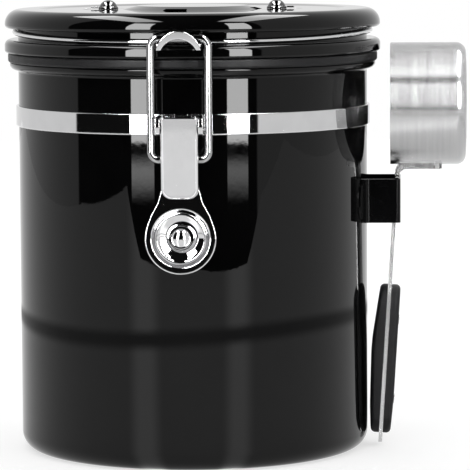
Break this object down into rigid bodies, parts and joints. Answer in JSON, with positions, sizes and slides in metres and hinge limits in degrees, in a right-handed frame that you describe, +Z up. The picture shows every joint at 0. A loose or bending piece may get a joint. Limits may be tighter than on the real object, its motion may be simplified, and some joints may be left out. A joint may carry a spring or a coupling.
{
  "type": "coffee canister",
  "caption": "Round steel coffee canister with a hinged plug lid, wire-bail clasp, one-way degassing valve, day and month dials, and a measuring scoop hung in a side clip.",
  "frame": {"origin": "Centre of the can's flat base, on the surface that it rests on.", "axes": "+Z up along the can's axis, clasp at the front towards -Y, hinge at the rear towards +Y, scoop on the right towards +X."},
  "size_m": [0.1585, 0.1434, 0.1544],
  "materials": {
    "gloss_black_steel": "high gloss enamel",
    "gloss_black_lid": "high gloss",
    "chrome": "polished",
    "silicone": "matte",
    "valve_plastic": "matte",
    "filter_felt": "felt",
    "satin_black_steel": "satin",
    "steel": "brushed",
    "grip_plastic": "matte"
  },
  "bodies": {
    "can": {"can_body": "gloss_black_steel", "band": "chrome", "clasp_bracket": "chrome", "clasp_pin": "chrome", "hinge_bracket": "chrome", "hinge_pin": "chrome", "scoop_clip": "satin_black_steel"},
    "lid": {"lid_shell": "gloss_black_lid", "ring_wire": "chrome", "front_catch": "chrome", "hinge_leaf": "chrome", "lid_gasket": "silicone", "valve_cover": "gloss_black_lid", "valve_body": "valve_plastic", "valve_filter": "filter_felt"},
    "clasp_lever": {"clasp_lever": "chrome"},
    "clasp_bail": {"clasp_bail": "chrome"},
    "day_dial": {"day_knob": "chrome", "day_knob_nut": "steel"},
    "month_dial": {"month_knob": "chrome", "month_knob_nut": "steel"},
    "valve_flap": {"valve_flap": "silicone"},
    "scoop": {"scoop_cup": "steel", "scoop_strap": "steel", "grip_inner": "grip_plastic", "grip_outer": "grip_plastic", "grip_rivets": "steel"}
  },
  "joints": [
    {"name": "lid_hinge", "type": "hinge", "parent": "can", "child": "lid", "pos_m": [0, 0.0695, 0.14235], "axis": [-1, 0, 0], "range_deg": [0, 105]},
    {"name": "clasp_lever_pivot", "type": "hinge", "parent": "can", "child": "clasp_lever", "pos_m": [0, -0.068, 0.11525], "axis": [-1, 0, 0], "range_deg": [0, 100]},
    {"name": "bail_pivot", "type": "hinge", "parent": "clasp_lever", "child": "clasp_bail", "pos_m": [0, -0.0669, 0.10425], "axis": [-1, 0, 0], "range_deg": [-78, 0]},
    {"name": "day_dial_turn", "type": "hinge", "parent": "lid", "child": "day_dial", "pos_m": [-0.029, 0, 0.1513], "axis": [0, 0, 1], "continuous": true},
    {"name": "month_dial_turn", "type": "hinge", "parent": "lid", "child": "month_dial", "pos_m": [0.029, 0, 0.1513], "axis": [0, 0, 1], "continuous": true},
    {"name": "valve_flap_lift", "type": "slide", "parent": "lid", "child": "valve_flap", "axis": [0, 0, 1], "range_m": [0, 0.0008], "stiffness_N_per_m": 20},
    {"name": "scoop_lift", "type": "slide", "parent": "can", "child": "scoop", "axis": [0, 0, 1], "range_m": [0, 0.02]}
  ],
  "couplings": [
    {"joint": "bail_pivot", "follows": "clasp_lever_pivot", "ratio": -0.78}
  ]
}
